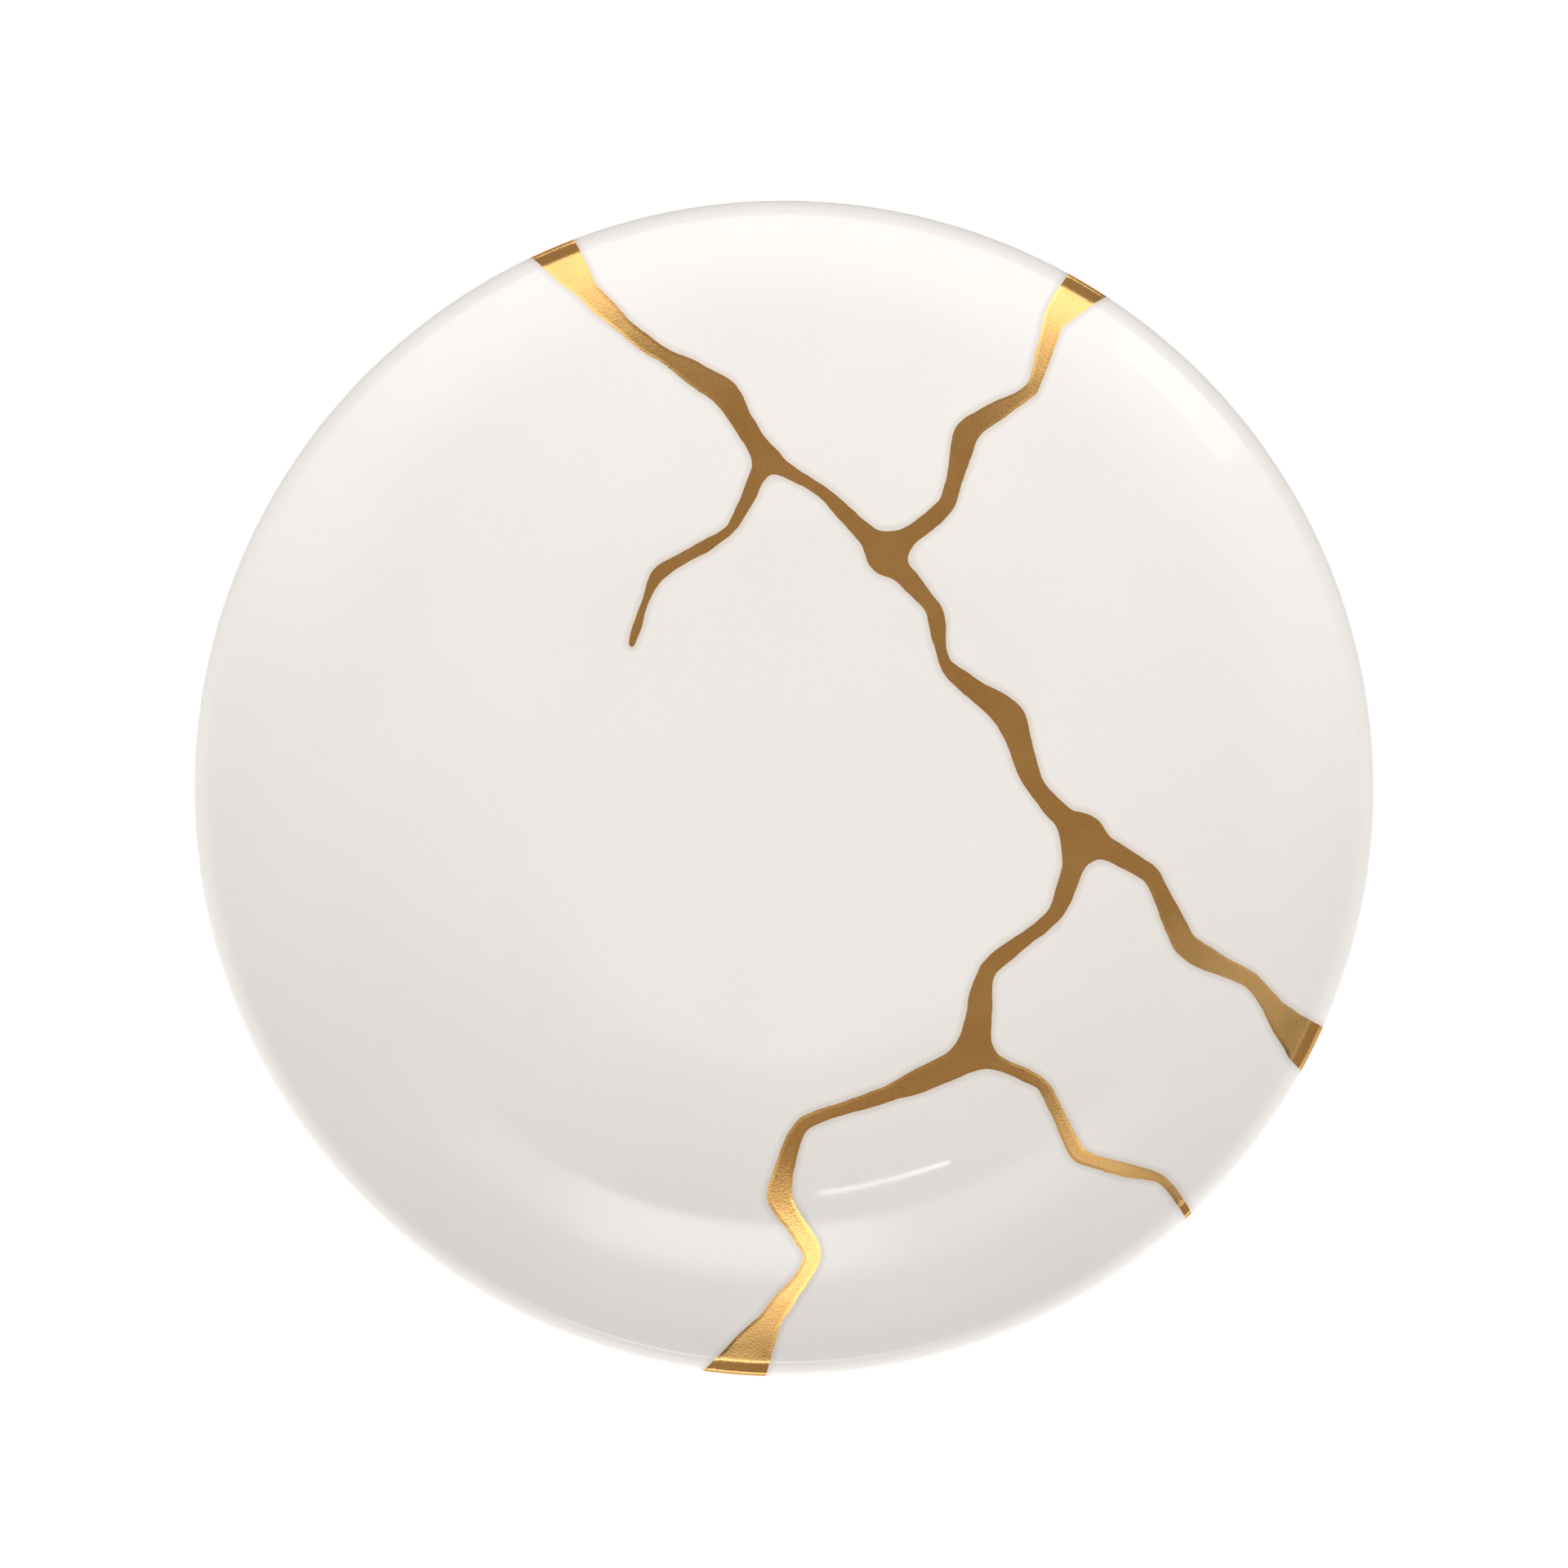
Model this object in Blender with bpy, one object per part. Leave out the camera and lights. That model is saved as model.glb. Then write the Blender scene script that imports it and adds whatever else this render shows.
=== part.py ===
"""A bread and butter plate: one turned porcelain dish with a flat well, a rising wall and a foot ring."""

from math import asin, atan2, cos, pi, radians, sin, sqrt, tan

import bmesh
import bpy

# Driving sizes, in metres
PLATE_DIAMETER = 0.160
PLATE_HEIGHT = 0.0205
WELL_DIAMETER = 0.0754
WELL_FLOOR_HEIGHT = 0.0054
WELL_THICKNESS = 0.0038
WALL_THICKNESS_AT_FOOT = 0.0042
RIM_THICKNESS = 0.0024
FOOT_DIAMETER = 0.0880
FOOT_WIDTH = 0.0034

# Roundings of the turned profile, in metres
WELL_EDGE_ROUNDING = 0.020
LIP_CROWN_ROUNDING = 0.0022
LIP_EDGE_ROUNDING = 0.0007
FOOT_HOLLOW_ROUNDING = 0.0010
FOOT_EDGE_ROUNDING = 0.0007

# Slope of the wall where it leaves the well, and the fall of the lip's crown where its edge begins
WALL_START_SLOPE = radians(8)
LIP_CROWN_FALL = radians(12)

# How finely the profile and the round are cut
TURN_STEPS = 96
WALL_STEPS = 9
UNDERSIDE_STEPS = 7
LIP_STEPS = (3, 1, 3, 3)
WELL_EDGE_STEPS = 2
ROUNDING_STEPS = 2
MERGE_DISTANCE = 1e-6

PORCELAIN_COLOUR = (0.86, 0.82, 0.77, 1.0)
PORCELAIN_ROUGHNESS = 0.12


def along_arc(centre, radius, start, end, steps):
    """Points of an arc in the profile plane; an angle of zero points outwards, a quarter turn up."""
    angles = [start + (end - start) * step / steps for step in range(steps + 1)]
    return [(centre[0] + radius * cos(angle), centre[1] + radius * sin(angle)) for angle in angles]


def rounded_corner(before, corner, after, radius):
    """Replaces a corner of the profile by an arc that touches both of its sides."""
    into = atan2(corner[1] - before[1], corner[0] - before[0])
    out = atan2(after[1] - corner[1], after[0] - corner[0])
    turn = (out - into + pi) % (2 * pi) - pi
    side = 1 if turn > 0 else -1
    setback = radius * tan(abs(turn) / 2)
    start = (corner[0] - setback * cos(into), corner[1] - setback * sin(into))
    centre = (start[0] - side * radius * sin(into), start[1] + side * radius * cos(into))
    first_angle = into - side * pi / 2
    return along_arc(centre, radius, first_angle, first_angle + turn, ROUNDING_STEPS)


class InnerSurface:
    """The top of the dish: flat well, soft edge, and a wall that is one arc as far as the lip."""

    def __init__(self):
        setback = WELL_EDGE_ROUNDING * tan(WALL_START_SLOPE / 2)
        self.flat_radius = WELL_DIAMETER / 2 - setback
        self.edge_centre = (self.flat_radius, WELL_FLOOR_HEIGHT + WELL_EDGE_ROUNDING)
        self.wall_start = (
            self.flat_radius + WELL_EDGE_ROUNDING * sin(WALL_START_SLOPE),
            self.edge_centre[1] - WELL_EDGE_ROUNDING * cos(WALL_START_SLOPE),
        )

        # The lip's tight edge makes the plate's width, and its broad crown the plate's height
        inset = LIP_CROWN_ROUNDING - LIP_EDGE_ROUNDING
        self.edge_radius = PLATE_DIAMETER / 2 - LIP_EDGE_ROUNDING
        self.crown_centre = (
            self.edge_radius - inset * sin(LIP_CROWN_FALL),
            PLATE_HEIGHT - LIP_CROWN_ROUNDING,
        )
        self.edge_height = self.crown_centre[1] + inset * cos(LIP_CROWN_FALL)

        # The wall's arc leaves the well at its own slope and touches the crown
        across = self.crown_centre[0] - self.wall_start[0]
        up = self.crown_centre[1] - self.wall_start[1]
        towards_centre = up * cos(WALL_START_SLOPE) - across * sin(WALL_START_SLOPE)
        reach = across**2 + up**2 - LIP_CROWN_ROUNDING**2
        self.wall_radius = reach / (2 * (towards_centre + LIP_CROWN_ROUNDING))
        self.wall_centre = (
            self.wall_start[0] - self.wall_radius * sin(WALL_START_SLOPE),
            self.wall_start[1] + self.wall_radius * cos(WALL_START_SLOPE),
        )
        run_to_crown = self.crown_centre[0] - self.wall_centre[0]
        self.rim_slope = asin(run_to_crown / (self.wall_radius + LIP_CROWN_ROUNDING))

    def height(self, radius):
        """Height of the dish's top at a distance from the plate's axis."""
        if radius <= self.flat_radius:
            return WELL_FLOOR_HEIGHT
        if radius <= self.wall_start[0]:
            return self.edge_centre[1] - sqrt(WELL_EDGE_ROUNDING**2 - (radius - self.flat_radius) ** 2)
        return self.wall_centre[1] - sqrt(self.wall_radius**2 - (radius - self.wall_centre[0]) ** 2)

    def points(self):
        """The profile from the plate's axis out to where the lip starts."""
        down = -pi / 2
        edge_end = down + WALL_START_SLOPE
        edge = along_arc(self.edge_centre, WELL_EDGE_ROUNDING, down, edge_end, WELL_EDGE_STEPS)
        wall = along_arc(self.wall_centre, self.wall_radius, edge_end, down + self.rim_slope, WALL_STEPS)
        return [(0.0, WELL_FLOOR_HEIGHT)] + edge + wall[1:]


def lip_points(inner):
    """The lip: a broad crown with a point on its very top, a tight edge, and a round underneath."""
    slope = inner.rim_slope

    # The last round is as large as the rim's thickness asks for, measured square to the wall
    outwards = sin(slope) * (inner.crown_centre[0] - PLATE_DIAMETER / 2)
    upwards = cos(slope) * (inner.edge_height - inner.crown_centre[1])
    under_rounding = (RIM_THICKNESS - LIP_CROWN_ROUNDING + outwards + upwards) / (1 - sin(slope))

    edge_centre = (inner.edge_radius, inner.edge_height)
    under_centre = (PLATE_DIAMETER / 2 - under_rounding, inner.edge_height)
    edge_start = pi / 2 - LIP_CROWN_FALL
    stretches = [
        (inner.crown_centre, LIP_CROWN_ROUNDING, slope + pi / 2, pi / 2),
        (inner.crown_centre, LIP_CROWN_ROUNDING, pi / 2, edge_start),
        (edge_centre, LIP_EDGE_ROUNDING, edge_start, 0.0),
        (under_centre, under_rounding, 0.0, slope - pi / 2),
    ]
    lip = []
    for (centre, radius, start, end), steps in zip(stretches, LIP_STEPS):
        lip += along_arc(centre, radius, start, end, steps)[1:]
    return lip


def underside_arc(start, slope, end):
    """The outer wall: an arc that runs on from the lip's slope and ends at the foot ring."""
    across = end[0] - start[0]
    up = end[1] - start[1]
    radius = (across**2 + up**2) / (2 * (up * cos(slope) - across * sin(slope)))
    centre = (start[0] - radius * sin(slope), start[1] + radius * cos(slope))
    end_angle = atan2(end[1] - centre[1], end[0] - centre[0])
    return along_arc(centre, radius, slope - pi / 2, end_angle, UNDERSIDE_STEPS)


def plate_profile():
    """The whole turned profile, from the axis on top, round the lip and back to the axis underneath."""
    inner = InnerSurface()
    lip = lip_points(inner)

    foot_outer = FOOT_DIAMETER / 2
    foot_inner = foot_outer - FOOT_WIDTH
    foot_top = (foot_outer, inner.height(foot_outer) - WALL_THICKNESS_AT_FOOT)
    underside_height = WELL_FLOOR_HEIGHT - WELL_THICKNESS
    outer_wall = underside_arc(lip[-1], inner.rim_slope, foot_top)

    corners = [
        (foot_top, FOOT_HOLLOW_ROUNDING),
        ((foot_outer, 0.0), FOOT_EDGE_ROUNDING),
        ((foot_inner, 0.0), FOOT_EDGE_ROUNDING),
        ((foot_inner, underside_height), FOOT_EDGE_ROUNDING),
    ]
    path = [outer_wall[-2]] + [corner for corner, rounding in corners] + [(0.0, underside_height)]
    foot = []
    for place, (corner, rounding) in enumerate(corners, start=1):
        foot += rounded_corner(path[place - 1], corner, path[place + 1], rounding)

    return inner.points() + lip + outer_wall[1:-1] + foot + [(0.0, underside_height)]


def turned_mesh(name, profile):
    """Spins a profile once round the vertical axis into a closed body."""
    body = bmesh.new()
    line = [body.verts.new((radius, 0.0, height)) for radius, height in profile]
    edges = [body.edges.new(pair) for pair in zip(line, line[1:])]
    bmesh.ops.spin(
        body,
        geom=line + edges,
        cent=(0, 0, 0),
        axis=(0, 0, 1),
        angle=2 * pi,
        steps=TURN_STEPS,
        use_merge=True,
    )
    bmesh.ops.remove_doubles(body, verts=body.verts, dist=MERGE_DISTANCE)
    bmesh.ops.recalc_face_normals(body, faces=body.faces)
    mesh = bpy.data.meshes.new(name)
    body.to_mesh(mesh)
    body.free()
    mesh.shade_smooth()
    return mesh


def glazed_porcelain():
    """Warm white glaze."""
    material = bpy.data.materials.new("glazed_porcelain")
    material.use_nodes = True
    shader = material.node_tree.nodes["Principled BSDF"]
    shader.inputs["Base Color"].default_value = PORCELAIN_COLOUR
    shader.inputs["Roughness"].default_value = PORCELAIN_ROUGHNESS
    shader.inputs["Metallic"].default_value = 0.0
    return material


def make_plate():
    """The plate stands on its foot ring, with the centre of its base at the origin."""
    mesh = turned_mesh("plate", plate_profile())
    mesh.materials.append(glazed_porcelain())
    plate = bpy.data.objects.new("plate", mesh)
    bpy.context.scene.collection.objects.link(plate)


def main():
    for leftover in list(bpy.data.objects):
        bpy.data.objects.remove(leftover, do_unlink=True)
    make_plate()


main()
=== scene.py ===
"""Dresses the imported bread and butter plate: glaze, gold-mended seams and a plain soft studio."""

from math import asin, ceil, cos, hypot, pi, radians, sin, tan

import bpy
import numpy as np
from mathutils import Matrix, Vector, noise
from mathutils.geometry import delaunay_2d_cdt


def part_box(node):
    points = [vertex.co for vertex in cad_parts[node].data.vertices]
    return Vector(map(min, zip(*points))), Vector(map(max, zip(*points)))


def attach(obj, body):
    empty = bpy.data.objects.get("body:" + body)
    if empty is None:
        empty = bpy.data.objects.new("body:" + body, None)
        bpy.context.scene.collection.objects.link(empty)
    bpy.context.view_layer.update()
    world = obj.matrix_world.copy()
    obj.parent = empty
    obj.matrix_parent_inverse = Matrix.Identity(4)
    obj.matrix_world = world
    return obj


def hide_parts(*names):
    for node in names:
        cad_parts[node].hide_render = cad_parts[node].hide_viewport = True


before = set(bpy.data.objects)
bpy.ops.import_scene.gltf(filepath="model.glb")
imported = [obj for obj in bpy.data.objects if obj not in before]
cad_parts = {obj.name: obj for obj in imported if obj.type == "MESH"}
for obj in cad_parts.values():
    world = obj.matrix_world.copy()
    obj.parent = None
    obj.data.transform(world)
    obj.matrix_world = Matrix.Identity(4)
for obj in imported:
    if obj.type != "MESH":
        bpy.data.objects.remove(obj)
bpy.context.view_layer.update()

# Shapes below are worked out in millimetres and turned into metres where the mesh is made
MM = 0.001

# The plate's overall sizes come from its solid
plate_low, plate_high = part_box("plate")
PLATE_DIAMETER = (plate_high[0] - plate_low[0]) / MM
PLATE_HEIGHT = plate_high[2] / MM

# The other sizes of the turned profile repeat the solid's own
WELL_DIAMETER = 75.4
WELL_FLOOR_HEIGHT = 5.4
WELL_THICKNESS = 3.8
WALL_THICKNESS_AT_FOOT = 4.2
RIM_THICKNESS = 2.4
FOOT_DIAMETER = 88.0
FOOT_WIDTH = 3.4
WELL_EDGE_ROUNDING = 20.0
LIP_CROWN_ROUNDING = 2.2
LIP_EDGE_ROUNDING = 0.7
FOOT_HOLLOW_ROUNDING = 1.0
FOOT_EDGE_ROUNDING = 0.7
WALL_START_SLOPE = radians(8)
LIP_CROWN_FALL = radians(12)

# How finely the plate is meshed, and how far past the lip the dish's own mesh reaches
RING_CORNERS = 384
FEWEST_RING_CORNERS = 6
ARC_SAMPLE = radians(0.5)
WELL_SPACING = 3.0
WELL_EDGE_SPACING = 1.4
WALL_SPACING = 2.0
LIP_SPACING = 0.22
PAST_LIP_SPACING = 0.8
UNDERSIDE_SPACING = 2.5
ROUNDING_SPACING = 0.25
DISC_PAST_LIP = 3.4

# The glaze runs softly from the wall into the lip, over this length to either side
LIP_BLEND = 0.25
BLEND_SAMPLES = 9

# How finely the seams' outlines are found and cut into the mesh
FIELD_PITCH = 0.3
FIELD_MARGIN = 2.0
OUTLINE_STEP = 0.35
FEWEST_LOOP_CORNERS = 3
CUT_TOLERANCE = 1e-5
LIP_CLEARANCE = 0.12

# Lines of places follow the seams' outlines in and out: each one's depth in the gold and its spacing.
# Between the two depths of their reach they stand in for the open dish's own places.
GOLD_LINES = {0.45: 0.7, -0.45: 0.7, -1.0: 1.0, -1.8: 1.6}
GOLD_LINES_REACH = (-2.4, 1.0)

# The depth in the gold is negative on bare glaze, and isn't followed further out than this
FAR_FROM_GOLD = -6.0


class TurnedPath:
    """A path of straight runs and arcs in the profile plane, read at any distance run along it."""

    def __init__(self, radius, height, heading):
        self.radii = [radius]
        self.heights = [height]
        self.headings = [heading]
        self.runs = [0.0]

    @property
    def length(self):
        return self.runs[-1]

    def line(self, length):
        """Runs straight on."""
        heading = self.headings[-1]
        self.radii.append(self.radii[-1] + length * cos(heading))
        self.heights.append(self.heights[-1] + length * sin(heading))
        self.headings.append(heading)
        self.runs.append(self.length + length)

    def arc(self, radius, turn):
        """Turns to the left for a positive angle and to the right for a negative one."""
        side = 1 if turn > 0 else -1
        heading = self.headings[-1]
        centre_radius = self.radii[-1] - side * radius * sin(heading)
        centre_height = self.heights[-1] + side * radius * cos(heading)
        start = self.length
        steps = ceil(abs(turn) / ARC_SAMPLE)
        for step in range(1, steps + 1):
            turned = turn * step / steps
            self.radii.append(centre_radius + side * radius * sin(heading + turned))
            self.heights.append(centre_height - side * radius * cos(heading + turned))
            self.headings.append(heading + turned)
            self.runs.append(start + radius * abs(turned))

    def at(self, run, blend):
        """Distance from the axis, height, and heading at each distance run along the path.

        The heading is evened out over the blend's length to either side.
        """
        offsets = np.linspace(-blend, blend, BLEND_SAMPLES)
        headings = [np.interp(run + offset, self.runs, self.headings) for offset in offsets]
        return (
            np.interp(run, self.runs, self.radii),
            np.interp(run, self.runs, self.heights),
            np.mean(headings, axis=0),
        )


def turned_profile():
    """The plate's profile from the well's centre, round the lip and the foot, to the axis underneath.

    It comes back with the runs at which its stretches end, by name.
    """
    path = TurnedPath(0.0, WELL_FLOOR_HEIGHT, 0.0)
    ends = {}

    path.line(WELL_DIAMETER / 2 - WELL_EDGE_ROUNDING * tan(WALL_START_SLOPE / 2))
    ends["well"] = path.length
    path.arc(WELL_EDGE_ROUNDING, WALL_START_SLOPE)
    ends["well_edge"] = path.length

    # The lip's tight edge makes the plate's width, and its broad crown the plate's height
    inset = LIP_CROWN_ROUNDING - LIP_EDGE_ROUNDING
    crown_radius = PLATE_DIAMETER / 2 - LIP_EDGE_ROUNDING - inset * sin(LIP_CROWN_FALL)
    crown_height = PLATE_HEIGHT - LIP_CROWN_ROUNDING

    # The wall is the arc that leaves the well's edge and touches the crown
    across = crown_radius - path.radii[-1]
    up = crown_height - path.heights[-1]
    towards_centre = up * cos(WALL_START_SLOPE) - across * sin(WALL_START_SLOPE)
    reach = across**2 + up**2 - LIP_CROWN_ROUNDING**2
    wall_radius = reach / (2 * (towards_centre + LIP_CROWN_ROUNDING))
    wall_centre_radius = path.radii[-1] - wall_radius * sin(WALL_START_SLOPE)
    rim_slope = asin((crown_radius - wall_centre_radius) / (wall_radius + LIP_CROWN_ROUNDING))
    path.arc(wall_radius, rim_slope - WALL_START_SLOPE)
    ends["wall"] = path.length
    foot_outer = FOOT_DIAMETER / 2
    wall_at_foot = np.interp(foot_outer, path.radii, path.heights)

    # The lip: its crown, its edge, and a round underneath that the rim's thickness settles
    outwards = sin(rim_slope) * (crown_radius - PLATE_DIAMETER / 2)
    upwards = cos(rim_slope) * inset * cos(LIP_CROWN_FALL)
    under_rounding = (RIM_THICKNESS - LIP_CROWN_ROUNDING + outwards + upwards) / (1 - sin(rim_slope))
    path.arc(LIP_CROWN_ROUNDING, -rim_slope - LIP_CROWN_FALL)
    path.arc(LIP_EDGE_ROUNDING, LIP_CROWN_FALL - pi / 2)
    path.arc(under_rounding, rim_slope - pi / 2)
    ends["lip"] = path.length

    # The outer wall is the arc that runs on from the lip and ends at the foot ring's outer side
    across = foot_outer - path.radii[-1]
    up = wall_at_foot - WALL_THICKNESS_AT_FOOT - path.heights[-1]
    outer_radius = (across**2 + up**2) / (2 * (up * cos(rim_slope) - across * sin(rim_slope)))
    outer_centre_radius = path.radii[-1] - outer_radius * sin(rim_slope)
    foot_slope = asin((foot_outer - outer_centre_radius) / outer_radius)
    setback = FOOT_HOLLOW_ROUNDING * tan((pi / 2 - foot_slope) / 2)
    path.arc(outer_radius, foot_slope - rim_slope + setback / outer_radius)
    ends["outer_wall"] = path.length
    path.arc(FOOT_HOLLOW_ROUNDING, pi / 2 - (path.headings[-1] + pi))
    ends["foot_hollow"] = path.length

    # The foot ring, down its outer side, across its contact and up its inner side
    path.line(path.heights[-1] - FOOT_EDGE_ROUNDING)
    ends["foot_outer_side"] = path.length
    path.arc(FOOT_EDGE_ROUNDING, -pi / 2)
    ends["foot_outer_edge"] = path.length
    path.line(FOOT_WIDTH - 2 * FOOT_EDGE_ROUNDING)
    ends["foot_contact"] = path.length
    path.arc(FOOT_EDGE_ROUNDING, -pi / 2)
    ends["foot_inner_edge"] = path.length
    path.line(WELL_FLOOR_HEIGHT - WELL_THICKNESS - 2 * FOOT_EDGE_ROUNDING)
    ends["foot_inner_side"] = path.length
    path.arc(FOOT_EDGE_ROUNDING, pi / 2)
    ends["foot_inner_hollow"] = path.length
    path.line(path.radii[-1])
    ends["underside"] = path.length
    return path, ends


# The gold seams, on the dish laid out flat: x to the right and y up the picture, with distances from the
# middle measured along the surface. Every point is x, y and half the seam's width.


def on_rim(degrees, run, half_width):
    """A seam's point given by its angle from the x axis and its run from the middle of the dish."""
    return (run * cos(radians(degrees)), run * sin(radians(degrees)), half_width)


SEAM_END_RUN = 88.0
GOLD_PAST_LIP = 1.2
UPPER_FORK = (14.0, 33.0, 1.6)
LOWER_FORK = (41.0, -6.0, 1.9)
WELL_SPUR_START = (-2.5, 46.5)
WALL_SPUR_START = (25.5, -36.0)
SEAMS = {
    "top_left": [
        on_rim(114, SEAM_END_RUN, 3.9), on_rim(113, 82.0, 3.0), on_rim(111.5, 75.0, 1.5),
        (-22.0, 64.5, 1.2), (-17.5, 61.0, 1.0), (-8.5, 55.5, 1.9), (*WELL_SPUR_START, 1.2),
        (5.5, 41.5, 0.9), UPPER_FORK,
    ],
    "across_well": [
        UPPER_FORK, (20.5, 25.5, 1.1), (22.5, 17.5, 0.9), (31.0, 10.5, 2.1), (34.5, 1.0, 1.2), LOWER_FORK,
    ],
    "lower_right": [
        LOWER_FORK, (50.5, -11.5, 1.2), (55.5, -21.5, 1.7), (65.0, -27.0, 1.1), on_rim(-25, 76.5, 1.7),
        on_rim(-26.5, 82.0, 3.2), on_rim(-27, SEAM_END_RUN, 4.2),
    ],
    "top_right": [
        UPPER_FORK, (22.5, 40.0, 1.0), (25.5, 50.0, 1.7), (34.5, 56.0, 1.0), (38.0, 65.5, 1.5),
        on_rim(59, 82.5, 3.0), on_rim(58, SEAM_END_RUN, 4.4),
    ],
    "bottom": [
        LOWER_FORK, (37.5, -16.5, 1.1), (28.0, -24.5, 1.2), (*WALL_SPUR_START, 2.2), (14.5, -41.5, 1.2),
        (2.5, -46.0, 0.9), (-0.5, -56.0, 1.7), (4.0, -65.0, 1.1), (-2.0, -74.5, 1.7),
        on_rim(-94, 81.5, 3.4), on_rim(-96, SEAM_END_RUN, 4.8),
    ],
    "well_spur": [
        (*WELL_SPUR_START, 1.1), (-7.5, 36.5, 0.8), (-17.5, 30.0, 0.75), (-21.0, 20.5, 0.3),
    ],
    "wall_spur": [
        (*WALL_SPUR_START, 1.2), (35.5, -40.5, 0.8), (41.0, -51.0, 1.1), (52.5, -55.0, 0.8),
        (57.5, -62.0, 0.35),
    ],
}

FORK_FILLET = 2.6
STROKE_STEP = 0.8
STROKE_CURVINESS = 0.3

# The wavering of the seams' edges: two sizes of wave, and how far from the gold it is worked out
WAVE_LONG, WAVE_LONG_DEPTH = 5.0, 0.34
WAVE_SHORT, WAVE_SHORT_DEPTH = 1.3, 0.08
WAVE_LIMIT = -3.0


def smooth_stroke(points):
    """Passes one curve through a seam's points, width included, with corners that stay rather tight."""
    padded = np.array([points[0], *points, points[-1]], dtype=float)
    stroke = []
    for before, start, end, after in zip(padded, padded[1:], padded[2:], padded[3:]):
        leave = STROKE_CURVINESS * (end - before)
        arrive = STROKE_CURVINESS * (after - start)
        steps = ceil(hypot(*(end - start)[:2]) / STROKE_STEP)
        for t in (step / steps for step in range(steps)):
            from_start = start * (1 + 2 * t) + leave * t
            from_end = end * (3 - 2 * t) + arrive * (t - 1)
            stroke.append(from_start * (1 - t) ** 2 + from_end * t**2)
    return np.array([*stroke, padded[-1]])


def inside_stroke(stroke, x, y):
    """How far inside a stroke each place lies; negative outside it."""
    depth = np.full(x.shape, FAR_FROM_GOLD)
    for (x0, y0, w0), (x1, y1, w1) in zip(stroke, stroke[1:]):
        reach = max(w0, w1) - FAR_FROM_GOLD
        near = (abs(x - (x0 + x1) / 2) < reach) & (abs(y - (y0 + y1) / 2) < reach)
        dx, dy = x[near] - x0, y[near] - y0
        share = np.clip((dx * (x1 - x0) + dy * (y1 - y0)) / ((x1 - x0) ** 2 + (y1 - y0) ** 2), 0, 1)
        away = np.hypot(dx - share * (x1 - x0), dy - share * (y1 - y0))
        depth[near] = np.maximum(depth[near], w0 + share * (w1 - w0) - away)
    return depth


def joined(first, second):
    """Runs two depths together with a fillet where their edges meet."""
    overlap = np.maximum(FORK_FILLET - abs(first - second), 0) / FORK_FILLET
    return np.maximum(first, second) + overlap**2 * FORK_FILLET / 4


def gold_depth(half_extent, stop_run):
    """Distance inside the gold on a square grid of places, negative on bare glaze and past the stop."""
    steps = np.arange(-half_extent, half_extent + FIELD_PITCH, FIELD_PITCH)
    x, y = np.meshgrid(steps, steps, indexing="ij")
    depth = np.full(x.shape, FAR_FROM_GOLD)
    for points in SEAMS.values():
        depth = joined(depth, inside_stroke(smooth_stroke(points), x, y))
    depth = np.maximum(np.minimum(depth, stop_run - np.hypot(x, y)), FAR_FROM_GOLD)

    # Brushed by hand, the edges waver a little
    for i, j in zip(*np.nonzero(depth > WAVE_LIMIT)):
        place = Vector((x[i, j], y[i, j], 0.0))
        depth[i, j] += WAVE_LONG_DEPTH * noise.noise(place / WAVE_LONG)
        depth[i, j] += WAVE_SHORT_DEPTH * noise.noise(place / WAVE_SHORT)
    return steps, depth


def level_loops(steps, depth, level):
    """The closed lines along which the depth has one value, each as an array of places."""
    above = depth > level
    corner = above[:-1, :-1]
    mixed = (corner ^ above[1:, :-1]) | (corner ^ above[:-1, 1:]) | (corner ^ above[1:, 1:])
    links = {}
    for i, j in zip(*np.nonzero(mixed)):
        corners = [(i, j), (i + 1, j), (i + 1, j + 1), (i, j + 1)]
        sides = [(a, b) for a, b in zip(corners, corners[1:] + corners[:1]) if above[a] != above[b]]
        crossings = [tuple(sorted(side)) for side in sides]
        if above[corners[0]] and len(crossings) == 4:
            crossings = crossings[1:] + crossings[:1]
        for first, second in zip(crossings[::2], crossings[1::2]):
            links.setdefault(first, []).append(second)
            links.setdefault(second, []).append(first)

    def place(crossing):
        (i0, j0), (i1, j1) = crossing
        share = (level - depth[i0, j0]) / (depth[i1, j1] - depth[i0, j0])
        return (steps[i0] + share * (steps[i1] - steps[i0]), steps[j0] + share * (steps[j1] - steps[j0]))

    loops = []
    while links:
        here = next(iter(links))
        loop = []
        while here in links:
            loop.append(place(here))
            onward = [crossing for crossing in links.pop(here) if crossing in links]
            here = onward[0] if onward else None
        loops.append(np.array(loop))
    return loops


def evenly_spaced(loop, spacing):
    """A closed loop read again at even steps along its length."""
    closed = np.vstack([loop, loop[:1]])
    runs = np.concatenate([[0], np.cumsum(np.hypot(*np.diff(closed, axis=0).T))])
    count = max(FEWEST_LOOP_CORNERS, round(runs[-1] / spacing))
    wanted = np.arange(count) * runs[-1] / count
    return np.column_stack([np.interp(wanted, runs, closed[:, 0]), np.interp(wanted, runs, closed[:, 1])])


def depth_at(steps, depth, places):
    """Reads the grid of depths between its own places."""
    column = (places[:, 0] - steps[0]) / FIELD_PITCH
    row = (places[:, 1] - steps[0]) / FIELD_PITCH
    i = np.clip(column.astype(int), 0, len(steps) - 2)
    j = np.clip(row.astype(int), 0, len(steps) - 2)
    u, v = column - i, row - j
    low = depth[i, j] * (1 - v) + depth[i, j + 1] * v
    high = depth[i + 1, j] * (1 - v) + depth[i + 1, j + 1] * v
    return low * (1 - u) + high * u


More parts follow.
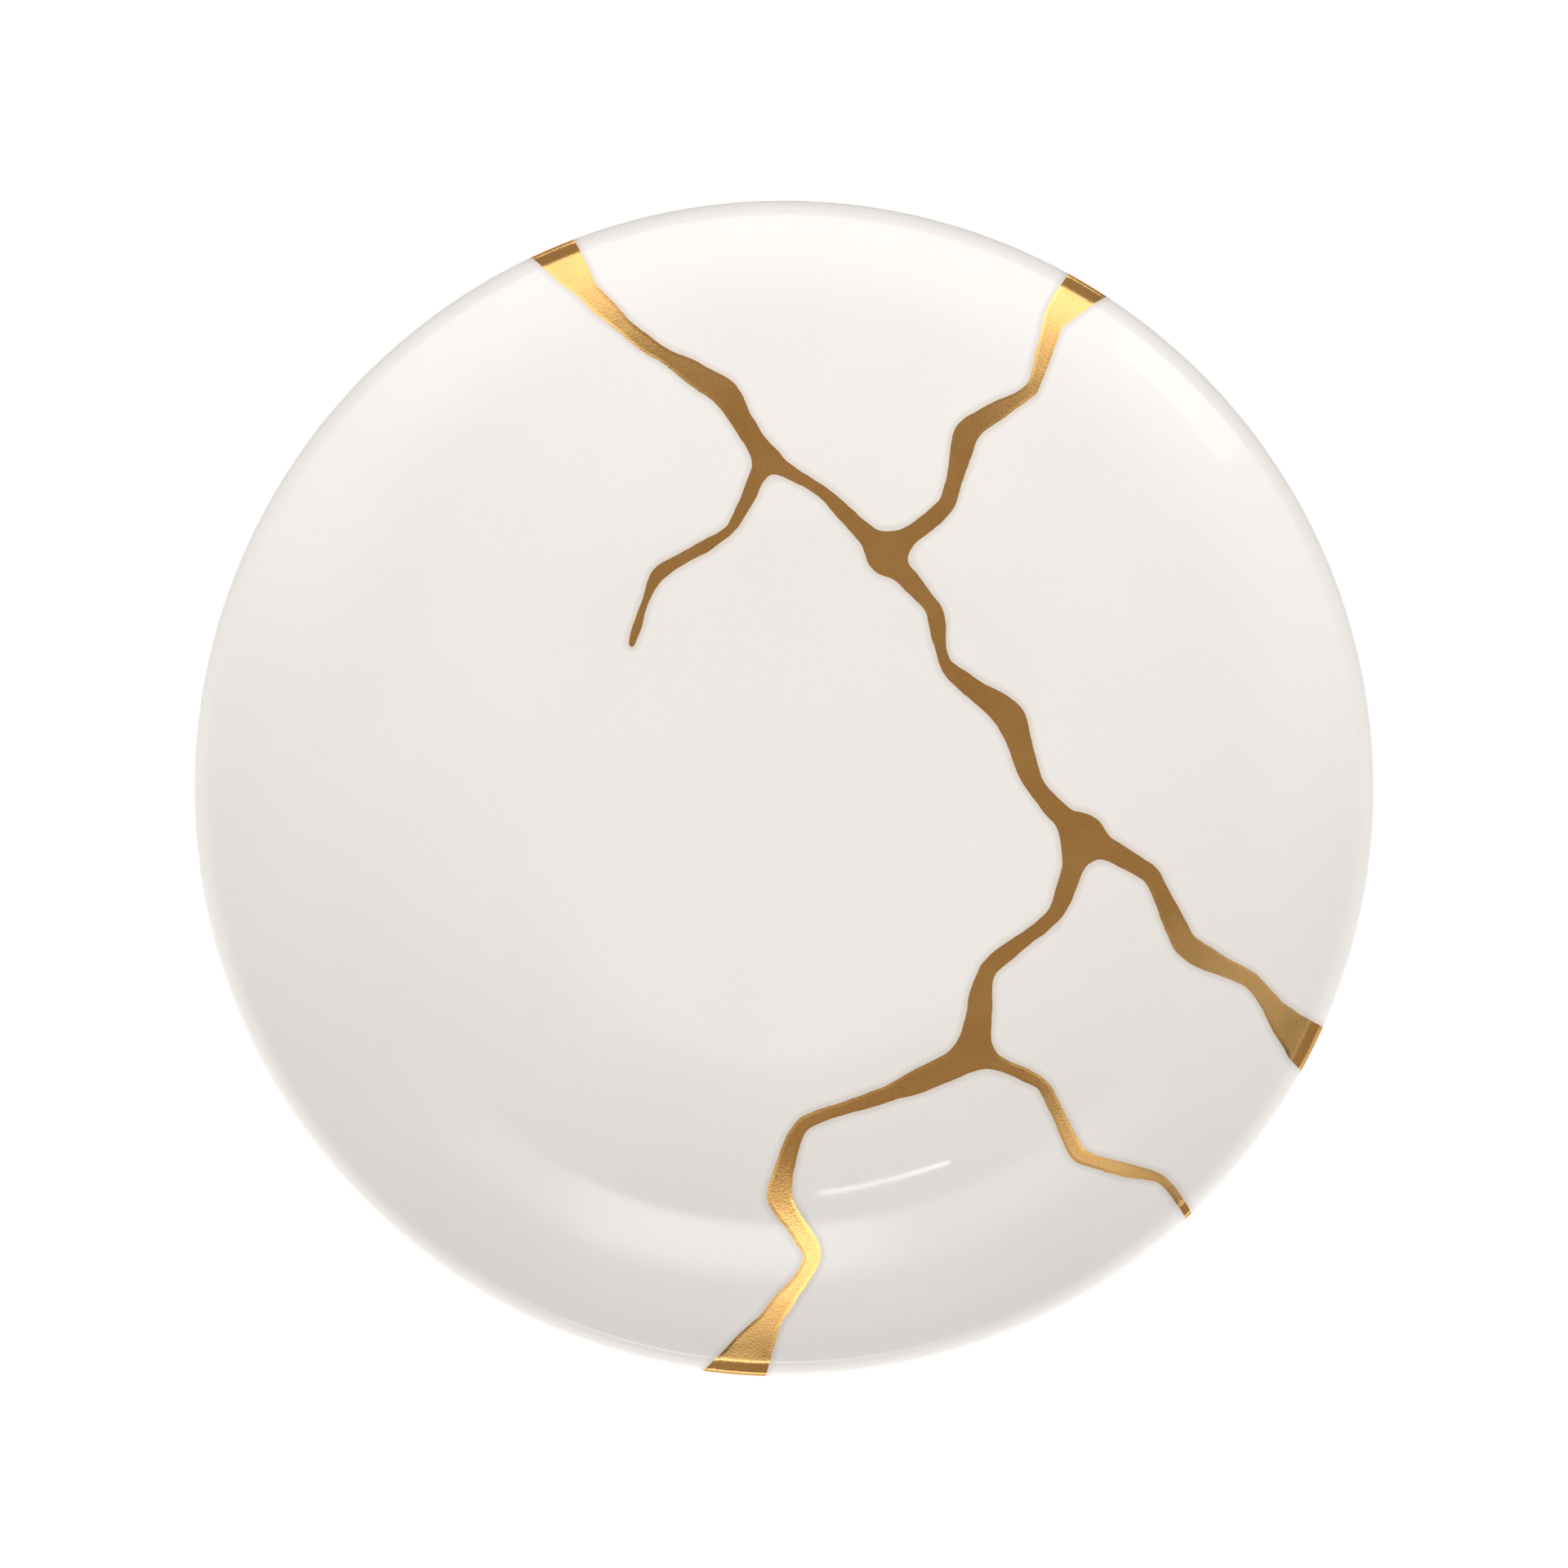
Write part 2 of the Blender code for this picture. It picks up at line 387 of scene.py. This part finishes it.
def within_loops(loops, places):
    """Tells which places lie inside an odd number of closed loops."""
    inside = np.zeros(len(places), dtype=bool)
    for loop in loops:
        for (x0, y0), (x1, y1) in zip(loop, np.roll(loop, -1, axis=0)):
            if y0 == y1:
                continue
            crosses = (y0 > places[:, 1]) != (y1 > places[:, 1])
            inside ^= crosses & (places[:, 0] < x0 + (places[:, 1] - y0) * (x1 - x0) / (y1 - y0))
    return inside


# The dish's mesh: laid out flat, cut along the seams' outlines, then folded up round the lip


def steps_between(start, end, spacing):
    """Even steps from one run to another, without the start."""
    count = ceil((end - start) / spacing)
    return [start + (end - start) * step / count for step in range(1, count + 1)]


def ring_places(run, corners, turn=0.0):
    """Evenly spaced places on a ring of the dish laid out flat."""
    bearings = 2 * pi * (np.arange(corners) + turn) / corners
    return np.column_stack([run * np.cos(bearings), run * np.sin(bearings)])


def dish_rings(ends):
    """Rings of places from the middle to just past the lip: the open dish's, and the lip's."""
    open_runs = steps_between(0, ends["well"], WELL_SPACING)
    open_runs += steps_between(ends["well"], ends["well_edge"], WELL_EDGE_SPACING)
    open_runs += steps_between(ends["well_edge"], ends["wall"], WALL_SPACING)[:-1]
    open_places = [[[0.0, 0.0]]]
    for place, run in enumerate(open_runs):
        corners = max(FEWEST_RING_CORNERS, round(2 * pi * run / WALL_SPACING))
        half_turned = (place % 2) / 2
        open_places.append(ring_places(run, corners, half_turned))

    lip_runs = [ends["wall"], *steps_between(ends["wall"], ends["lip"], LIP_SPACING)]
    lip_runs += steps_between(ends["lip"], ends["lip"] + DISC_PAST_LIP, PAST_LIP_SPACING)[:-1]
    lip_places = [ring_places(run, RING_CORNERS) for run in lip_runs]
    return np.vstack(open_places), np.vstack(lip_places)


def cut_dish(ends):
    """Triangulates the dish laid out flat, with the seams' outlines as edges.

    Returns places, triangles, which of them are gold, each place's depth in the gold, and the outer ring.
    """
    last_run = ends["lip"] + DISC_PAST_LIP
    steps, depth = gold_depth(last_run + FIELD_MARGIN, ends["lip"] + GOLD_PAST_LIP)
    outlines = [evenly_spaced(loop, OUTLINE_STEP) for loop in level_loops(steps, depth, 0.0)]

    open_places, lip_places = dish_rings(ends)
    open_depth = depth_at(steps, depth, open_places)
    clear = (open_depth < GOLD_LINES_REACH[0]) | (open_depth > GOLD_LINES_REACH[1])
    free = [open_places[clear], lip_places[abs(depth_at(steps, depth, lip_places)) > LIP_CLEARANCE]]
    for level, spacing in GOLD_LINES.items():
        for loop in level_loops(steps, depth, level):
            line = evenly_spaced(loop, spacing)
            free.append(line[np.hypot(line[:, 0], line[:, 1]) < ends["wall"] - spacing / 2])

    places = [np.vstack(free)]
    edges = []
    for loop in [*outlines, ring_places(last_run, RING_CORNERS)]:
        first = sum(map(len, places))
        corners = range(first, first + len(loop))
        edges += zip(corners, [*corners[1:], first])
        places.append(loop)
    ring_start = sum(map(len, places)) - RING_CORNERS

    flat = [Vector(place) for place in np.vstack(places)]
    whole_hull = 0
    verts, _, faces, sources, _, _ = delaunay_2d_cdt(flat, edges, [], whole_hull, CUT_TOLERANCE)
    made_from = {source: vert for vert, given in enumerate(sources) for source in given}
    outer_ring = [made_from[ring_start + corner] for corner in range(RING_CORNERS)]

    verts = np.array([tuple(vert) for vert in verts])
    faces = np.array(faces)
    middles = verts[faces].mean(axis=1)
    is_gold = within_loops(outlines, middles)
    return verts, faces, is_gold, depth_at(steps, depth, verts), outer_ring


def underside_runs(ends):
    """Runs of the rings that follow the dish's mesh, over the foot ring to the middle of the underside."""
    runs = steps_between(ends["lip"] + DISC_PAST_LIP, ends["outer_wall"], UNDERSIDE_SPACING)
    last = "outer_wall"
    foot_ring = ["foot_hollow", "foot_outer_side", "foot_outer_edge", "foot_contact",
                 "foot_inner_edge", "foot_inner_side", "foot_inner_hollow"]
    for name in foot_ring:
        runs += steps_between(ends[last], ends[name], ROUNDING_SPACING)
        last = name
    runs += steps_between(ends[last], ends["underside"], UNDERSIDE_SPACING)[:-1]
    return runs


def folded(path, runs, bearings, blend=0.0):
    """Puts places of the flat layout on the turned surface, with the surface's facing there."""
    radius, height, heading = path.at(runs, blend)
    across, along = np.cos(bearings), np.sin(bearings)
    places = np.column_stack([radius * across, radius * along, np.broadcast_to(height, across.shape)])
    lean = -np.sin(heading)
    facing = np.column_stack([lean * across, lean * along, np.broadcast_to(np.cos(heading), across.shape)])
    return places * MM, facing


# The plate's materials, in this order; the bare foot goes a little past the contact on both sides
GLAZE_SLOT, GOLD_SLOT, BARE_SLOT = range(3)
BARE_PAST_CONTACT = 0.35

# Where the two flat layouts lie in the texture map: centre and radius
TOP_CHART = (0.365, 0.365, 0.355)
UNDERSIDE_CHART = (0.785, 0.785, 0.2)


def build_plate(materials):
    """One closed mesh of the whole plate, gold seams cut in as faces of their own."""
    path, ends = turned_profile()
    flat, top_faces, is_gold, top_depth, outer_ring = cut_dish(ends)
    top_runs = np.hypot(flat[:, 0], flat[:, 1])
    top_places, top_facing = folded(path, top_runs, np.arctan2(flat[:, 1], flat[:, 0]), LIP_BLEND)

    # The underside's rings carry on from the dish's outer ring, and end at one place in the middle
    places, facing = [top_places], [top_facing]
    bearings = 2 * pi * np.arange(RING_CORNERS) / RING_CORNERS
    rings = [np.array(outer_ring)]
    runs = underside_runs(ends)
    for run in runs:
        ring_at, ring_facing = folded(path, run, bearings)
        rings.append(np.arange(RING_CORNERS) + sum(map(len, places)))
        places.append(ring_at)
        facing.append(ring_facing)
    middle = sum(map(len, places))
    places.append(np.array([[0.0, 0.0, (WELL_FLOOR_HEIGHT - WELL_THICKNESS) * MM]]))
    facing.append(np.array([[0.0, 0.0, -1.0]]))

    # The faces, and the material of each
    faces = [tuple(face) for face in top_faces.tolist()]
    slots = [GOLD_SLOT if gold else GLAZE_SLOT for gold in is_gold]
    bare = (ends["foot_outer_edge"] - BARE_PAST_CONTACT, ends["foot_contact"] + BARE_PAST_CONTACT)
    ring_runs = [ends["lip"] + DISC_PAST_LIP, *runs]
    for inner, outer, start, end in zip(rings, rings[1:], ring_runs, ring_runs[1:]):
        quads = np.column_stack([inner, outer, np.roll(outer, -1), np.roll(inner, -1)])
        faces += [tuple(quad) for quad in quads.tolist()]
        slots += [BARE_SLOT if bare[0] < (start + end) / 2 < bare[1] else GLAZE_SLOT] * RING_CORNERS
    last = rings[-1].tolist()
    faces += [(here, middle, onward) for here, onward in zip(last, last[1:] + last[:1])]
    slots += [GLAZE_SLOT] * RING_CORNERS

    mesh = bpy.data.meshes.new("mended_plate")
    mesh.from_pydata(np.vstack(places).tolist(), [], faces)
    mesh.polygons.foreach_set("material_index", slots)
    mesh.polygons.foreach_set("use_smooth", [True] * len(faces))
    for material in materials:
        mesh.materials.append(material)

    in_gold = np.full(len(mesh.vertices), FAR_FROM_GOLD, dtype=np.float32)
    in_gold[: len(top_depth)] = top_depth
    mesh.attributes.new("gold_depth", "FLOAT", "POINT").data.foreach_set("value", in_gold)
    lay_out_texture(mesh, flat, top_faces.size)
    mesh.normals_split_custom_set_from_vertices(np.vstack(facing).tolist())
    mesh.update()
    plate = bpy.data.objects.new("mended_plate", mesh)
    bpy.context.scene.collection.objects.link(plate)
    return plate


def lay_out_texture(mesh, flat, dish_corners):
    """Gives the mesh a texture map of two round charts: the dish, whose corners come first, and the rest.

    The rest is laid out as it is seen from below.
    """
    corners = np.empty(len(mesh.loops), dtype=int)
    mesh.loops.foreach_get("vertex_index", corners)
    chart = np.empty((len(corners), 2))

    centre_u, centre_v, radius = TOP_CHART
    reach = np.hypot(flat[:, 0], flat[:, 1]).max()
    chart[:dish_corners] = flat[corners[:dish_corners]] * radius / reach + (centre_u, centre_v)

    centre_u, centre_v, radius = UNDERSIDE_CHART
    places = np.empty(len(mesh.vertices) * 3)
    mesh.vertices.foreach_get("co", places)
    from_below = places.reshape(-1, 3)[corners[dish_corners:], :2] / MM * (1, -1)
    chart[dish_corners:] = from_below * radius / (PLATE_DIAMETER / 2) + (centre_u, centre_v)
    mesh.uv_layers.new(name="OFBake").uv.foreach_set("vector", chart.ravel())


# Materials


class Nodes:
    """A node tree under construction."""

    # Soft noise keeps mostly between these two values
    NOISE_LOW, NOISE_HIGH = 0.3, 0.7

    def __init__(self, tree):
        self.tree = tree

    def node(self, kind, **settings):
        """Adds a node with its settings."""
        node = self.tree.nodes.new(kind)
        for name, value in settings.items():
            setattr(node, name, value)
        return node

    def feed(self, socket, value):
        """Links a socket to another node's output, or sets it to a plain value."""
        if isinstance(value, bpy.types.NodeSocket):
            self.tree.links.new(value, socket)
        else:
            socket.default_value = value

    def spread(self, value, low, high, from_low=NOISE_LOW, from_high=NOISE_HIGH):
        """Maps a value's range smoothly onto another."""
        node = self.node("ShaderNodeMapRange", interpolation_type="SMOOTHSTEP")
        for name, given in zip(("Value", "From Min", "From Max", "To Min", "To Max"),
                               (value, from_low, from_high, low, high)):
            self.feed(node.inputs[name], given)
        return node.outputs["Result"]

    def blend(self, factor, first, second):
        """Mixes two colours."""
        node = self.node("ShaderNodeMix", data_type="RGBA")
        factor_socket = next(s for s in node.inputs if s.name == "Factor" and s.type == "VALUE")
        first_socket, second_socket = [s for s in node.inputs if s.type == "RGBA"]
        self.feed(factor_socket, factor)
        self.feed(first_socket, first)
        self.feed(second_socket, second)
        return next(s for s in node.outputs if s.type == "RGBA")

    def sum(self, first, second):
        return self.worked_out("ShaderNodeMath", "ADD", first, second)

    def product(self, first, second):
        return self.worked_out("ShaderNodeMath", "MULTIPLY", first, second)

    def worked_out(self, kind, operation, *values, output="Value"):
        """Does sums with numbers or vectors."""
        node = self.node(kind, operation=operation)
        for socket, value in zip(node.inputs, values):
            self.feed(socket, value)
        return node.outputs[output]


class Surface(Nodes):
    """A material under construction: its node tree, its shader, and the object's own coordinates."""

    def __init__(self, name):
        self.material = bpy.data.materials.new(name)
        self.material.use_nodes = True
        super().__init__(self.material.node_tree)
        self.shader = self.tree.nodes["Principled BSDF"]
        self.coordinates = self.node("ShaderNodeTexCoord").outputs["Object"]

    def give(self, name, value):
        """Feeds one of the shader's own sockets."""
        self.feed(self.shader.inputs[name], value)

    def noise(self, size, detail=2.0, roughness=0.5):
        """Soft noise whose features are about a size across, in metres."""
        node = self.node("ShaderNodeTexNoise")
        self.feed(node.inputs["Vector"], self.coordinates)
        self.feed(node.inputs["Scale"], 1 / size)
        self.feed(node.inputs["Detail"], detail)
        self.feed(node.inputs["Roughness"], roughness)
        return node.outputs["Fac"]

    def attribute(self, name):
        return self.node("ShaderNodeAttribute", attribute_name=name).outputs["Fac"]

    def bump(self, height, depth, under=None):
        """Raises the surface by a height map, on top of another bump where one is given."""
        node = self.node("ShaderNodeBump")
        self.feed(node.inputs["Height"], height)
        self.feed(node.inputs["Distance"], depth)
        if under:
            self.feed(node.inputs["Normal"], under)
        return node.outputs["Normal"]


def plain(red, green, blue):
    """An opaque colour."""
    return (red, green, blue, 1.0)


# The glaze drifts between two tones, is finely specked, and has a painted warm shade beside the gold.
# Edges are given by the depth in the gold at which they start and end.
GLAZE_TONES = (plain(0.870, 0.862, 0.851), plain(0.886, 0.879, 0.868))
GLAZE_CLOUD_SIZE = 22 * MM
GLAZE_SPECK_TONE, GLAZE_SPECK_SHARE = plain(0.840, 0.828, 0.814), 0.2
GLAZE_SPECK_SIZE, GLAZE_SPECK_DEPTH = 1.1 * MM, 0.0015 * MM
# Painted shade beside the gold: its tone, how much of it, and where it starts and is full
GLAZE_PAINTED_SHADE_TONE, GLAZE_PAINTED_SHADE_SHARE = plain(0.60, 0.53, 0.45), 0.5
GLAZE_PAINTED_SHADE_EDGE = (-1.1, 0.1)
GLAZE_ROUGHNESS, GLAZE_ROUGHNESS_SIZE = (0.03, 0.06), 6 * MM
GLAZE_RIPPLE_SIZE, GLAZE_RIPPLE_DEPTH = 8 * MM, 0.008 * MM
GLAZE_IOR = 1.52

# The gold drifts between two tones too. Its grain is darker in the hollows, and its edge is rounded over.
GOLD_TONES = (plain(0.55, 0.322, 0.112), plain(0.61, 0.368, 0.136))
GOLD_DRIFT_SIZE = 9 * MM
GOLD_GRAIN_TONE, GOLD_GRAIN_SHARE = plain(0.43, 0.237, 0.075), 0.3
GOLD_GRAIN_HOLLOWS = (0.35, 0.6)
GOLD_GRAIN_SIZE, GOLD_GRAIN_DEPTH = 0.26 * MM, 0.02 * MM
GOLD_ROUGHNESS = (0.14, 0.20)
GOLD_EDGE, GOLD_EDGE_DEPTH = (-0.1, 0.55), 0.035 * MM
GOLD_SWELL_SIZE, GOLD_SWELL_DEPTH = 6 * MM, 0.04 * MM

BISCUIT_TONES = (plain(0.66, 0.62, 0.56), plain(0.74, 0.71, 0.66))
BISCUIT_GRAIN_SIZE, BISCUIT_GRAIN_DEPTH = 0.4 * MM, 0.03 * MM
BISCUIT_ROUGHNESS = (0.62, 0.80)


def glaze():
    """Warm white glaze with a faint cloudiness, a slight ripple, and a painted warm shade beside the gold.
    """
    surface = Surface("glazed_porcelain")
    cloud = surface.spread(surface.noise(GLAZE_CLOUD_SIZE, detail=3.0), 0.0, 1.0)
    body = surface.blend(cloud, *GLAZE_TONES)
    specks = surface.noise(GLAZE_SPECK_SIZE, detail=4.0, roughness=0.6)
    body = surface.blend(surface.spread(specks, 0.0, GLAZE_SPECK_SHARE), body, GLAZE_SPECK_TONE)
    # Painted shade: the glaze is darkened and warmed towards the gold's edge
    shade = surface.spread(surface.attribute("gold_depth"), 0.0, GLAZE_PAINTED_SHADE_SHARE, *GLAZE_PAINTED_SHADE_EDGE)
    body = surface.blend(shade, body, GLAZE_PAINTED_SHADE_TONE)
    surface.give("Base Color", body)
    surface.give("Roughness", surface.spread(surface.noise(GLAZE_ROUGHNESS_SIZE), *GLAZE_ROUGHNESS))
    surface.give("IOR", GLAZE_IOR)
    ripple = surface.bump(surface.noise(GLAZE_RIPPLE_SIZE, detail=1.0), GLAZE_RIPPLE_DEPTH)
    surface.give("Normal", surface.bump(specks, GLAZE_SPECK_DEPTH, ripple))
    return surface.material


def fired_gold():
    """Satin fired gold with a fine grain, whose edges are rounded over."""
    surface = Surface("fired_gold")
    drift = surface.spread(surface.noise(GOLD_DRIFT_SIZE), 0.0, 1.0)
    tone = surface.blend(drift, *GOLD_TONES)
    grain = surface.noise(GOLD_GRAIN_SIZE, detail=3.0, roughness=0.6)
    hollows = surface.spread(grain, GOLD_GRAIN_SHARE, 0.0, *GOLD_GRAIN_HOLLOWS)
    tone = surface.blend(hollows, tone, GOLD_GRAIN_TONE)
    surface.give("Base Color", tone)
    surface.give("Metallic", 1.0)
    surface.give("Roughness", surface.spread(grain, *GOLD_ROUGHNESS))
    edge = surface.spread(surface.attribute("gold_depth"), 0.0, 1.0, *GOLD_EDGE)
    rounded = surface.bump(edge, GOLD_EDGE_DEPTH)
    swell = surface.bump(surface.noise(GOLD_SWELL_SIZE, detail=1.0), GOLD_SWELL_DEPTH, rounded)
    surface.give("Normal", surface.bump(grain, GOLD_GRAIN_DEPTH, swell))
    return surface.material


def bare_foot():
    """Unglazed biscuit where the foot ring stands on the table."""
    surface = Surface("bare_biscuit")
    grain = surface.noise(BISCUIT_GRAIN_SIZE, detail=6.0, roughness=0.7)
    surface.give("Base Color", surface.blend(surface.spread(grain, 0.0, 1.0), *BISCUIT_TONES))
    surface.give("Roughness", surface.spread(grain, *BISCUIT_ROUGHNESS))
    surface.give("Normal", surface.bump(grain, BISCUIT_GRAIN_DEPTH))
    return surface.material


# The studio, in metres

FLOOR_HALF_WIDTH = 6.0
FLOOR_GAP = 0.0002
FLOOR_TONES = (plain(0.88, 0.88, 0.88), plain(0.90, 0.90, 0.90))
FLOOR_CLOUD_SIZE = 0.3
FLOOR_ROUGHNESS = 0.9

# The floor's own light, and how far from the middle it starts and is full; inside that is a painted shadow
FLOOR_GLOW = 0.45
PAINTED_SHADOW_GLOW_EDGE = (0.064, 0.081)


def make_floor():
    """A plain pale floor just under the foot ring, lit from below as a light table is.

    Its glow is cut off right under the plate: a painted shadow, over the plate's own soft shadow there.
    """
    surface = Surface("pale_floor")
    cloud = surface.spread(surface.noise(FLOOR_CLOUD_SIZE), 0.0, 1.0)
    surface.give("Base Color", surface.blend(cloud, *FLOOR_TONES))
    surface.give("Roughness", FLOOR_ROUGHNESS)
    surface.give("Specular IOR Level", 0.0)
    surface.give("Emission Color", plain(1.0, 1.0, 1.0))
    away = surface.worked_out("ShaderNodeVectorMath", "LENGTH", surface.coordinates)
    # Painted shadow: the glow fades out under the plate
    surface.give("Emission Strength", surface.spread(away, 0.0, FLOOR_GLOW, *PAINTED_SHADOW_GLOW_EDGE))

    mesh = bpy.data.meshes.new("studio_floor")
    side = FLOOR_HALF_WIDTH
    corners = [(-side, -side), (side, -side), (side, side), (-side, side)]
    mesh.from_pydata([(x, y, -FLOOR_GAP) for x, y in corners], [], [(0, 1, 2, 3)])
    mesh.materials.append(surface.material)
    floor = bpy.data.objects.new("studio_floor", mesh)
    bpy.context.scene.collection.objects.link(floor)


def aim(thing, place, target):
    """Puts a lamp or camera at a place and turns it to a target."""
    thing.location = place
    thing.rotation_mode = "QUATERNION"
    thing.rotation_quaternion = (Vector(target) - Vector(place)).to_track_quat("-Z", "Y")


FRONT = 180


def towards(bearing, elevation, distance):
    """A place seen from the plate at a compass bearing, with 0 at the back and 90 to the right."""
    bearing, elevation = radians(bearing), radians(elevation)
    level = distance * cos(elevation)
    return (level * sin(bearing), level * cos(bearing), distance * sin(elevation))


# Soft lamps: bearing, elevation, distance, width, height, and how bright their face is
SOFTBOXES = {
    "window": (229, 32, 2.0, 0.52, 0.42, 1.2),
    "back_strip": (-12.5, 54.5, 2.0, 0.34, 0.026, 6.0),
}

# The surrounding light: a dim room, warmer overhead, and broad patches that add to it. A band goes all
# round, more light comes from low in front, a pale screen behind is brightest along its top, and a shade
# low down behind takes light away. Each patch has a bearing, how far it reaches to either side of that,
# its upper edge, its lower edge, and what it adds. The reach and the edges go from nothing to full.
ROOM_BRIGHTNESS = 0.56
ROOM_COLOUR = plain(1.0, 0.998, 0.990)
OVERHEAD_COLOUR = plain(0.96, 0.81, 0.67)
OVERHEAD_EDGE = (46, 60)
ALL_ROUND = None
BROAD_LIGHTS = {
    "band": (0, ALL_ROUND, (51, 40), (20, 34), 0.22),
    "front": (186, (107, 0), (52, 34), (12, 24), 2.00),
    "screen": (-2, (60, 22), (49, 47), (24, 32), 0.20),
    "screen_top": (0, (52, 16), (49, 46.5), (36, 42), 1.15),
    "screen_glow": (6, (24, 2), (49, 46.5), (36, 42), 2.00),
    "screen_low": (0, (34, 6), (42, 36), (22, 30), 0.62),
    "shade": (-16, (108, 35), (28, 18), (-60, -50), -0.52),
}


def make_lamps():
    """Rectangular soft lamps round the plate."""
    for name, (bearing, elevation, distance, width, height, brightness) in SOFTBOXES.items():
        lamp = bpy.data.lights.new(name, "AREA")
        lamp.shape = "RECTANGLE"
        lamp.size, lamp.size_y = width, height
        lamp.energy = brightness * pi * width * height
        place = bpy.data.objects.new(name, lamp)
        aim(place, towards(bearing, elevation, distance), (0.0, 0.0, 0.0))
        bpy.context.scene.collection.objects.link(place)


def make_sky():
    """The surrounding light, worked out from each direction's elevation and bearing."""
    world = bpy.data.worlds.new("studio")
    world.use_nodes = True
    bpy.context.scene.world = world
    sky = Nodes(world.node_tree)
    direction = sky.node("ShaderNodeTexCoord").outputs["Generated"]
    split = sky.node("ShaderNodeSeparateXYZ")
    sky.feed(split.inputs["Vector"], direction)
    vector_math = "ShaderNodeVectorMath"
    flattened = sky.worked_out(vector_math, "MULTIPLY", direction, (1.0, 1.0, 0.0), output="Vector")
    level = sky.worked_out(vector_math, "NORMALIZE", flattened, output="Vector")

    def across_edge(elevations):
        """Rises from nothing to full between two elevations."""
        nothing, full = (sin(radians(elevation)) for elevation in elevations)
        return sky.spread(split.outputs["Z"], 0.0, 1.0, nothing, full)

    def facing(bearing, turns):
        """Rises from nothing to full between two turns away from a bearing."""
        towards_it = sky.worked_out(vector_math, "DOT_PRODUCT", level, towards(bearing, 0, 1))
        nothing, full = (cos(radians(turn)) for turn in turns)
        return sky.spread(towards_it, 0.0, 1.0, nothing, full)

    brightness = ROOM_BRIGHTNESS
    for bearing, reach, upper_edge, lower_edge, added in BROAD_LIGHTS.values():
        part = sky.product(across_edge(upper_edge), across_edge(lower_edge))
        if reach is not ALL_ROUND:
            part = sky.product(part, facing(bearing, reach))
        brightness = sky.sum(brightness, sky.product(part, added))
    background = sky.tree.nodes["Background"]
    sky.feed(background.inputs["Strength"], brightness)
    colour = sky.blend(across_edge(OVERHEAD_EDGE), ROOM_COLOUR, OVERHEAD_COLOUR)
    sky.feed(background.inputs["Color"], colour)


# The camera leans by this many degrees from straight overhead. Two widths in the photo, in pixels, set how
# much of the view the plate fills.
CAMERA_TILT = 4.5
CAMERA_DISTANCE = 0.9
PHOTO_SIDE = 1920
PLATE_WIDTH_IN_PHOTO = 1446
SENSOR_WIDTH = 36.0


def make_camera():
    """Looks down on the plate, leaning a little to the front."""
    camera = bpy.data.cameras.new("camera")
    camera.sensor_width = SENSOR_WIDTH
    seen_width = PLATE_DIAMETER * MM * PHOTO_SIDE / PLATE_WIDTH_IN_PHOTO
    camera.lens = SENSOR_WIDTH * CAMERA_DISTANCE / seen_width
    place = bpy.data.objects.new("camera", camera)
    target = Vector((0.0, 0.0, PLATE_HEIGHT * MM))
    aim(place, target + Vector(towards(FRONT, 90 - CAMERA_TILT, CAMERA_DISTANCE)), target)
    bpy.context.scene.collection.objects.link(place)
    bpy.context.scene.camera = place


def main():
    plate = build_plate([glaze(), fired_gold(), bare_foot()])
    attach(plate, "root")
    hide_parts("plate")
    make_floor()
    make_lamps()
    make_sky()
    make_camera()
    bpy.context.scene.view_settings.view_transform = "Standard"


main()
